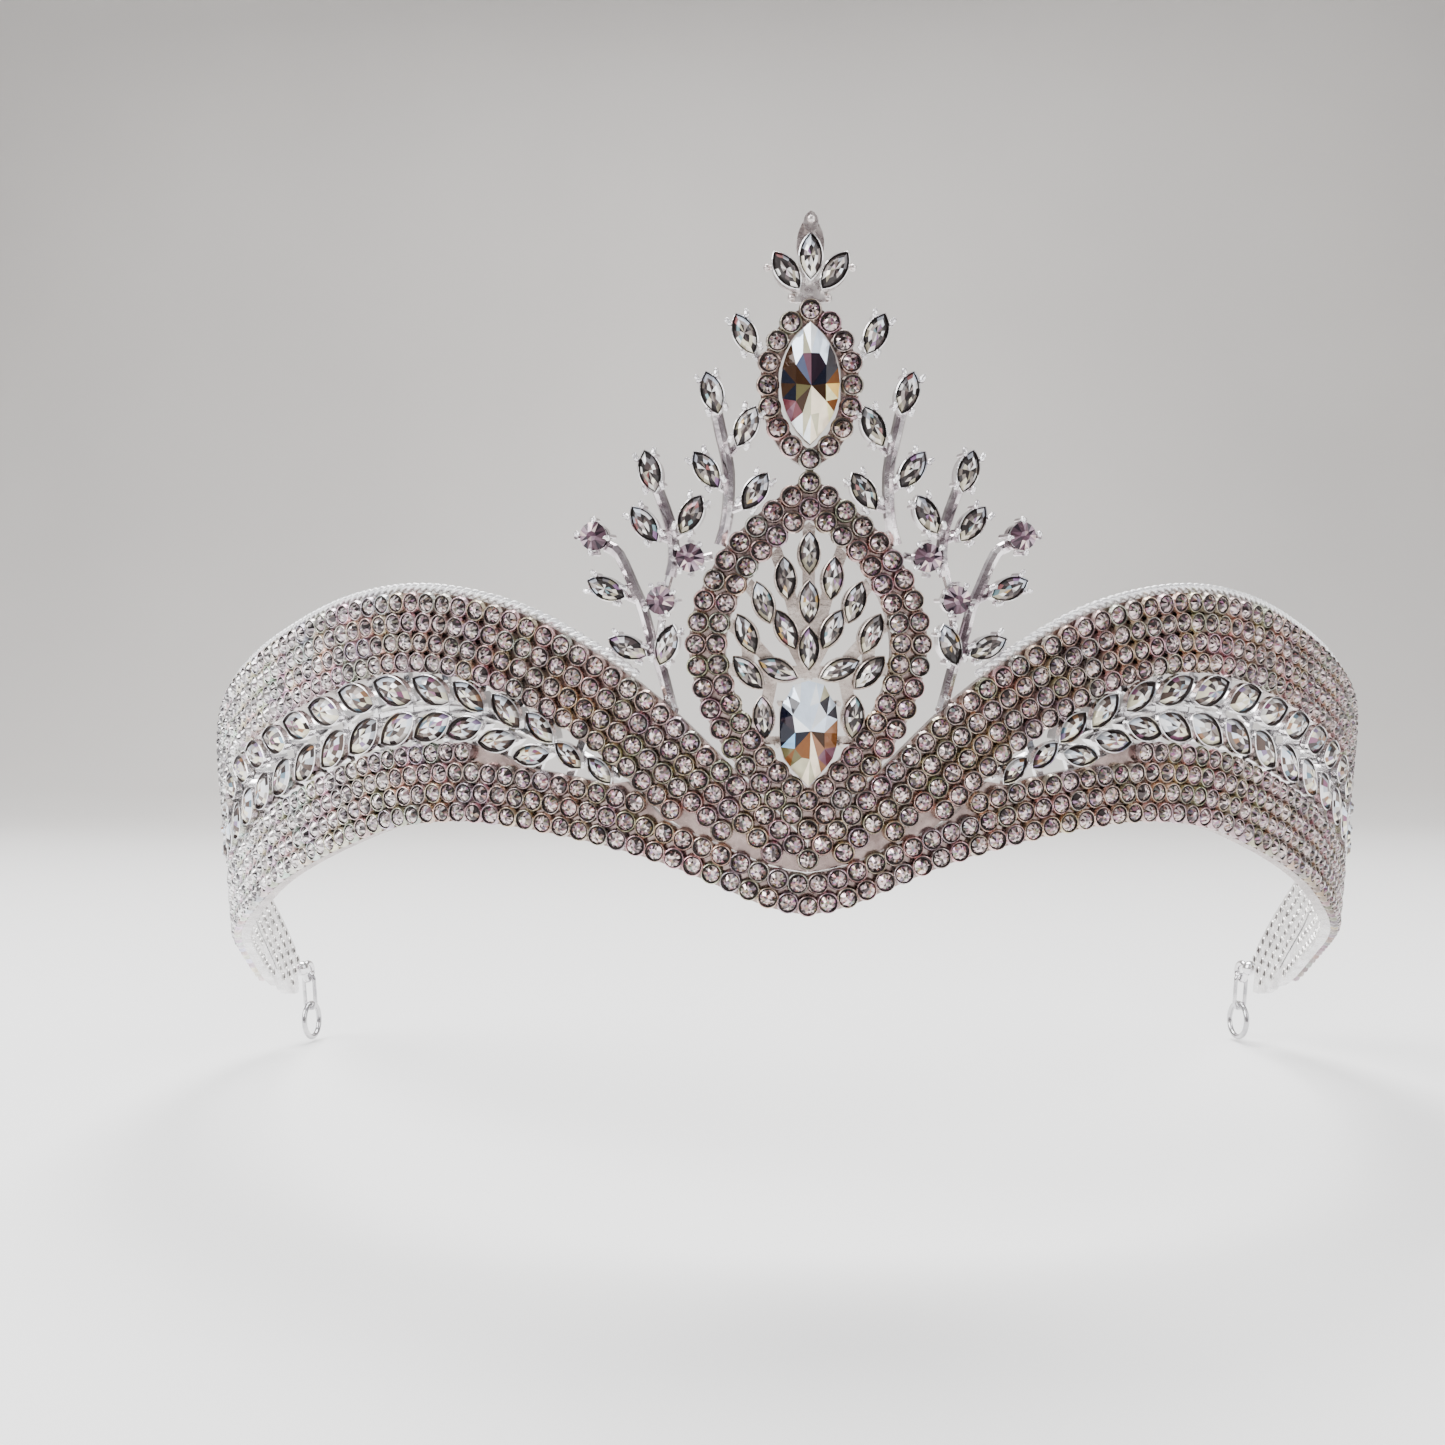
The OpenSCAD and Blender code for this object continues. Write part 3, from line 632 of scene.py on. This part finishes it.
def chaton(facets, matrix, rng):
    """A round claw-set stone: a small table in a star of light and dark facets, and four beads."""
    n, turn = 16, rng.uniform(0, 1)
    points = (ring(CHATON_R * 0.36, 0, n // 2, turn) + ring(CHATON_R, -0.5 * MM, n, turn)
              + ring(CHATON_R * 0.92, -1.1 * MM, n, turn) + [(0, 0, 0.0)])
    start = rng.randrange(8)
    faces, colors = [], []
    for i in range(n // 2):
        j = (i + 1) % (n // 2)
        a, b, c = 8 + 2 * i, 9 + 2 * i, 8 + (2 * i + 2) % n
        faces += [(i, j, len(points) - 1), (i, a, b), (i, b, j), (j, b, c)]
        tones = [CHATON_TONES[(start + 3 * i + k) % 8] for k in (0, 1, 4, 6)]
        colors += [mixed(tones[0], CHATON_TABLE, 0.5)] + tones[1:]
    facets.add(matrix, points, faces, colors)
    wall = [(d, c, b, a) for a, b, c, d in between(n // 2, n // 2 + n, n)]
    facets.add(matrix, points, wall, [CHATON_WALL] * n)
    for k in range(4):
        way = Vector((math.cos(k * math.pi / 2), math.sin(k * math.pi / 2), 0))
        bead = way * 1.6 * MM + Vector((0, 0, -0.2 * MM))
        peg(facets, matrix, bead, way * 1.2 * MM, 0.14 * MM)
        ball(facets, matrix, bead, 0.3 * MM)


# --- The twisted rim along the top edge ---

# The band's top edge on the right, as lengths round the front and heights, in mm.
TOP_EDGE = [(0, 7.05), (7, 14.1), (14, 20.8), (21, 25.8), (29.3, 30), (39.7, 32.2), (50.5, 31.6),
            (62.4, 28.8), (74, 25.6), (84, 22.4), (92, 18), (100, 11.4), (108, 4), (115, -2.2),
            (121, -6.4), (126, -10.4), (130, -14.6), (133.6, -19)]
ROPE_START, ROPE_END = 16.5, 130.0     # where the rim starts and stops, round the front, in mm
ROPE_RISE, ROPE_DEPTH = 0.49, 1.4      # the rim's middle above the edge and behind the faces, in mm
TWIST = 1.9                            # length of one full turn of the two strands, in mm
STRAND_R, STRAND_OFF = 0.3, 0.24       # a strand's radius and its way from the rim's middle, in mm
STRAND_SIDES, ROPE_STEP = 6, 0.19      # a strand's sides, and the length of its steps in mm


def bend(p, i, t):
    """The point a share t along the span i of a smooth curve through the points p."""
    a, b, c, d = (Vector(p[min(max(i + k, 0), len(p) - 1)]) for k in (-1, 0, 1, 2))
    return 0.5 * (2 * b + (c - a) * t + (2 * a - 5 * b + 4 * c - d) * t ** 2
                  + (3 * b - a - 3 * c + d) * t ** 3)


def rope_path():
    """Evenly spaced (u, z) points a little above the band's top edge, in mm."""
    curve = [bend(TOP_EDGE, i, k / 24) for i in range(len(TOP_EDGE) - 1) for k in range(24)]
    raised = []
    for a, b in zip(curve, curve[1:]):
        way = (b - a).normalized()
        raised.append(a + ROPE_RISE * Vector((-way.y, way.x)))
    points, left = [], 0.0
    for a, b in zip(raised, raised[1:]):
        length = (b - a).length
        while left < length:
            points.append(a + (b - a) * (left / length))
            left += ROPE_STEP
        left -= length
    return [p for p in points if ROPE_START < p.x < ROPE_END]


def rope(side):
    """Two strands twisted round each other along the top edge."""
    sign = -1 if side == "left" else 1
    path, facets, n = rope_path(), Facets(), STRAND_SIDES
    spots = [on_face(sign * p.x * MM, p.y * MM, ROPE_DEPTH * MM) for p in path]
    for strand in (0, math.pi):
        points, travelled = [], 0.0
        for i, spot in enumerate(spots):
            before, after = spots[max(i - 1, 0)], spots[min(i + 1, len(spots) - 1)]
            way = (after - before).normalized()
            travelled += (spot - before).length if i else 0.0
            out = Vector((spot.x, spot.y, 0)).normalized()
            out = (out - way * out.dot(way)).normalized()
            over = way.cross(out)
            angle = strand + sign * 2 * math.pi * travelled / (TWIST * MM)
            middle = spot + (out * math.cos(angle) + over * math.sin(angle)) * STRAND_OFF * MM
            points += [middle + (out * math.cos(a) + over * math.sin(a)) * STRAND_R * MM
                       for a in (2 * math.pi * k / n for k in range(n))]
        faces = [f for i in range(len(spots) - 1) for f in between(i * n, (i + 1) * n, n)]
        faces += [tuple(range(n)), tuple(len(points) - 1 - k for k in range(n))]
        facets.add(Matrix(), points, faces, [WHITE] * len(faces))
    node = "rope_rim_" + side
    obj = facets.build(node + "_twist", [WHITE_SILVER], smooth=True)
    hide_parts(node)


# --- The two large crystals ---

# Facet colours of the large crystals: painted reflection and painted glints, as the clear crystals
# show them.
ICE, PALE, SMOKE = (0.74, 0.85, 1.0), (0.92, 0.96, 1.0), (0.05, 0.048, 0.055)
NAVY, PLUM, WINE = (0.004, 0.005, 0.014), (0.016, 0.008, 0.016), (0.12, 0.03, 0.04)
MAUVE_GLINT, BLUE_GREY, SKY = (0.17, 0.08, 0.11), (0.1, 0.12, 0.2), (0.25, 0.5, 0.78)
AMBER, BROWN, HONEY = (0.17, 0.06, 0.015), (0.035, 0.014, 0.005), (0.95, 0.6, 0.15)
OLIVE, STRAW, CREAM = (0.13, 0.115, 0.05), (0.52, 0.49, 0.34), (0.95, 0.82, 0.62)
LEMON, TAN = (1.0, 0.93, 0.5), (0.27, 0.13, 0.07)

# Colours of the facets, clockwise from the top: twelve round the middle, then three for each of
# the twelve steps of the belt.
NAVETTE_INNER = [PLUM, PLUM, NAVY, BROWN, CREAM, CREAM, STRAW, BROWN, OLIVE, BROWN, BLUE_GREY,
                 MAUVE_GLINT]
NAVETTE_OUTER = [PALE, ICE, ICE, ICE, ICE, SMOKE, SMOKE, SMOKE, AMBER, HONEY, LEMON, AMBER,
                 LEMON, CREAM, CREAM, CREAM, STRAW, CREAM, PALE, STRAW, PALE, PALE, WINE,
                 MAUVE_GLINT, WINE, NAVY, BROWN, NAVY, BROWN, BROWN, BROWN, ICE, ICE, ICE, STRAW,
                 PALE]
KITE_INNER = [ICE, PALE, ICE, BROWN, TAN, CREAM, AMBER, AMBER, NAVY, PALE, ICE, ICE]
KITE_OUTER = [ICE, PALE, ICE, STRAW, SMOKE, ICE, SMOKE, ICE, TAN, AMBER, TAN, MAUVE_GLINT,
              WINE, MAUVE_GLINT, TAN, CREAM, CREAM, STRAW, CREAM, STRAW, STRAW, STRAW, OLIVE, AMBER,
              OLIVE, SKY, NAVY, NAVY, PLUM, NAVY, ICE, SMOKE, ICE, PALE, ICE, ICE]
# The kite-shaped crystal's outline on the right, from its top to its bottom, in mm.
KITE = [(0, 5.1), (1.5, 4.7), (2, 3.7), (2.8, 2.5), (2.8, -0.9), (2.4, -2.3), (1.6, -3.4),
        (0, -5.1)]
NAVETTE_HALF_L, NAVETTE_HALF_W = 5.7 * MM, 2.8 * MM
CRYSTAL_RISE = 1.9 * MM                # from a large crystal's edge to its point


def edge_point(outline, angle):
    """Where a ray from the middle meets a closed outline; the angle runs clockwise from the top."""
    way = Vector((math.sin(angle), math.cos(angle)))
    best = 0.0
    for a, b in zip(outline, outline[1:] + outline[:1]):
        a, b = Vector(a[:2]), Vector(b[:2])
        side = b - a
        cross = way.x * side.y - way.y * side.x
        if abs(cross) < 1e-12:
            continue
        far = (a.x * side.y - a.y * side.x) / cross
        share = (a.x * way.y - a.y * way.x) / cross
        if far > 0 and -1e-6 <= share <= 1 + 1e-6:
            best = max(best, far)
    return way * best


def star_crystal(facets, matrix, outline, middle, rise, inner, outer):
    """A large crystal cut as a star: facets round a point, a belt, and a row of edge facets."""
    stretch = max(p[1] for p in outline) / max(p[0] for p in outline)
    turns = (2 * math.pi * i / 24 for i in range(24))
    angles = [math.atan2(math.sin(a), stretch * math.cos(a)) for a in turns]
    edge = [edge_point(outline, a) for a in angles]
    belt = [mixed(middle, edge[2 * i], 0.62 if i % 3 else 0.5) for i in range(12)]
    points = [(*p, -rise) for p in edge] + [(*p, -rise * 0.3) for p in belt] + [(*middle, 0)]
    points += [(*(p * 0.97), -rise * 1.25) for p in edge]
    faces, colors = [], []
    for i in range(12):
        j = (i + 1) % 12
        a, b, c = 2 * i, 2 * i + 1, (2 * i + 2) % 24
        faces += [(36, 24 + j, 24 + i), (24 + i, b, a), (24 + i, 24 + j, b), (24 + j, c, b)]
        colors += [inner[i], *outer[3 * i:3 * i + 3]]
    facets.add(matrix, points, faces, colors)
    walls = [(i, (i + 1) % 24, 37 + (i + 1) % 24, 37 + i) for i in range(24)]
    facets.add(matrix, points, walls, [SMOKE] * 24)


def large_crystal(node, outline, middle, inner, outer):
    """A star-cut crystal, in place of the plain one of a CAD node."""
    facets = Facets()
    low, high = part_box(node)
    core = place(Vector((0, low.y, (low.z + high.z) / 2)))
    star_crystal(facets, core, outline, middle, CRYSTAL_RISE, inner, outer)
    obj = facets.build(node + "_cut", [CRYSTAL])
    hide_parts(node)


# --- Build ---

kite_right = [(x * MM, y * MM) for x, y in KITE]
kite_outline = kite_right + [(-x, y) for x, y in reversed(kite_right[1:-1])]
large_crystal("kite_crystal", kite_outline, (0.1 * MM, 0.4 * MM), KITE_INNER, KITE_OUTER)
navette_outline = marquise_ring(NAVETTE_HALF_L, NAVETTE_HALF_W, 0, 48)
large_crystal("navette_crystal", navette_outline, (0, -0.5 * MM), NAVETTE_INNER, NAVETTE_OUTER)

for side in ("left", "right"):
    pave("pave_upper_" + side)
    pave("pave_lower_" + side)
    rope(side)
    leaves("laurel_crystals_" + side, SILVER, LAUREL_RISE, palette=laurel_palette)
    for spray in ("inner", "middle", "outer"):
        leaves(f"spray_{spray}_crystals_{side}", SILVER, pronged=True,
               wires=WIRES.get(spray, ()))
pave("medallion_pave", shade=0.85)
pave("halo_pave", shade=0.85)
leaves("medallion_crystals", LATTICE_SILVER)
leaves("finial_crystals", SILVER)
leaves("halo_leaf_crystals", SILVER, pronged=True)

# The metal of each casting, by how its node's name starts. The others are bright silver.
METALS = {"link": RING_METAL, "loop": RING_METAL, "band": PLATE_METAL,
          "medallion_ring": PLATE_METAL, "halo_frame": PLATE_METAL,
          "medallion_lattice": LATTICE_SILVER, "kite_setting": LATTICE_SILVER,
          "navette_setting": LATTICE_SILVER, "finial": FINIAL_SILVER, "spray": STEM_SILVER}
for name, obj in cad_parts.items():
    metal = next((m for start, m in METALS.items() if name.startswith(start)), SILVER)
    obj.data.materials.clear()
    obj.data.materials.append(CRYSTAL if "crystal" in name else metal)

# --- Studio ---

FLOOR_Z = -31.6 * MM
# The backdrop: where its floor starts and starts to curve, the curve's radius, the wall's height
# and half its width.
FLOOR_FRONT, CURVE_Y, CURVE_R, WALL_TOP, HALF_WIDTH = -3.0, 0.5, 0.35, 1.6, 6.0
AROUND = (0, -0.06, 0.02)         # the tiara's middle, which the lights face
LIGHT_SIZE, SKY_STRENGTH = 0.5, 0.75


def studio():
    """A pale floor that curves up into a pale wall, the wall painted darker than the floor as
    painted shade.
    """
    mesh = bpy.data.meshes.new("backdrop")
    profile = [(FLOOR_FRONT, 0.0)]
    profile += [(CURVE_Y + CURVE_R * math.sin(a), CURVE_R - CURVE_R * math.cos(a))
                for a in (math.pi / 2 * i / 12 for i in range(13))]
    profile += [(CURVE_Y + CURVE_R, WALL_TOP)]
    points = [(x, y, FLOOR_Z + z) for x in (-HALF_WIDTH, HALF_WIDTH) for y, z in profile]
    n = len(profile)
    mesh.from_pydata(points, [], [(i, n + i, n + i + 1, i + 1) for i in range(n - 1)])
    mesh.polygons.foreach_set("use_smooth", [True] * (n - 1))
    obj = bpy.data.objects.new("backdrop", mesh)
    bpy.context.scene.collection.objects.link(obj)
    mat, tree, shader = node_material("pale_cloth")
    distance = spread(tree, along_axis(tree, "Y"), 0.0, 0.6)
    cloud = patchy(tree, BACKDROP_SCALE)
    # Painted shade: the wall's tone is darker than the white floor.
    shaded_wall_tone = mix_colors(tree, cloud, (0.54, 0.52, 0.5), (0.48, 0.46, 0.445))
    tree.links.new(mix_colors(tree, distance, WHITE, shaded_wall_tone), shader.inputs["Base Color"])
    shader.inputs["Roughness"].default_value = 0.95
    mesh.materials.append(mat)


def area_light(name, position, power):
    """A soft white light that faces the tiara."""
    data = bpy.data.lights.new(name, "AREA")
    data.size, data.energy = LIGHT_SIZE, power
    obj = bpy.data.objects.new(name, data)
    obj.location = position
    obj.rotation_euler = (Vector(AROUND) - Vector(position)).to_track_quat("-Z", "Y").to_euler()
    bpy.context.scene.collection.objects.link(obj)


def sky():
    """Bright above and at the sides, and a mauve dusk behind the camera."""
    world = bpy.data.worlds.new("studio")
    world.use_nodes = True
    bpy.context.scene.world = world
    tree = world.node_tree
    background = tree.nodes["Background"]
    behind = spread(tree, along_axis(tree, "Y", "Generated"), -0.95, -0.55, 1.0, 0.0)
    above = spread(tree, along_axis(tree, "Z", "Generated"), 0.15, 0.55)
    dusk = mix_colors(tree, behind, (0.85, 0.86, 0.88), (0.23, 0.175, 0.195))
    tree.links.new(mix_colors(tree, above, dusk, WHITE), background.inputs["Color"])
    background.inputs["Strength"].default_value = SKY_STRENGTH


studio()
sky()
area_light("key", (-0.6, -0.3, 0.5), 7.5)
area_light("fill", (0.6, -0.3, 0.35), 2.5)
area_light("back", (-0.05, 0.3, 0.8), 14)

camera = bpy.data.cameras.new("camera")
camera.lens, camera.sensor_width = 37.0, 36.0
camera.clip_start = 0.01
camera_obj = bpy.data.objects.new("camera", camera)
camera_obj.location = (-8.3 * MM, -222.5 * MM, 18.85 * MM)
camera_obj.rotation_euler = (math.pi / 2, 0, 0)
bpy.context.scene.collection.objects.link(camera_obj)
bpy.context.scene.camera = camera_obj
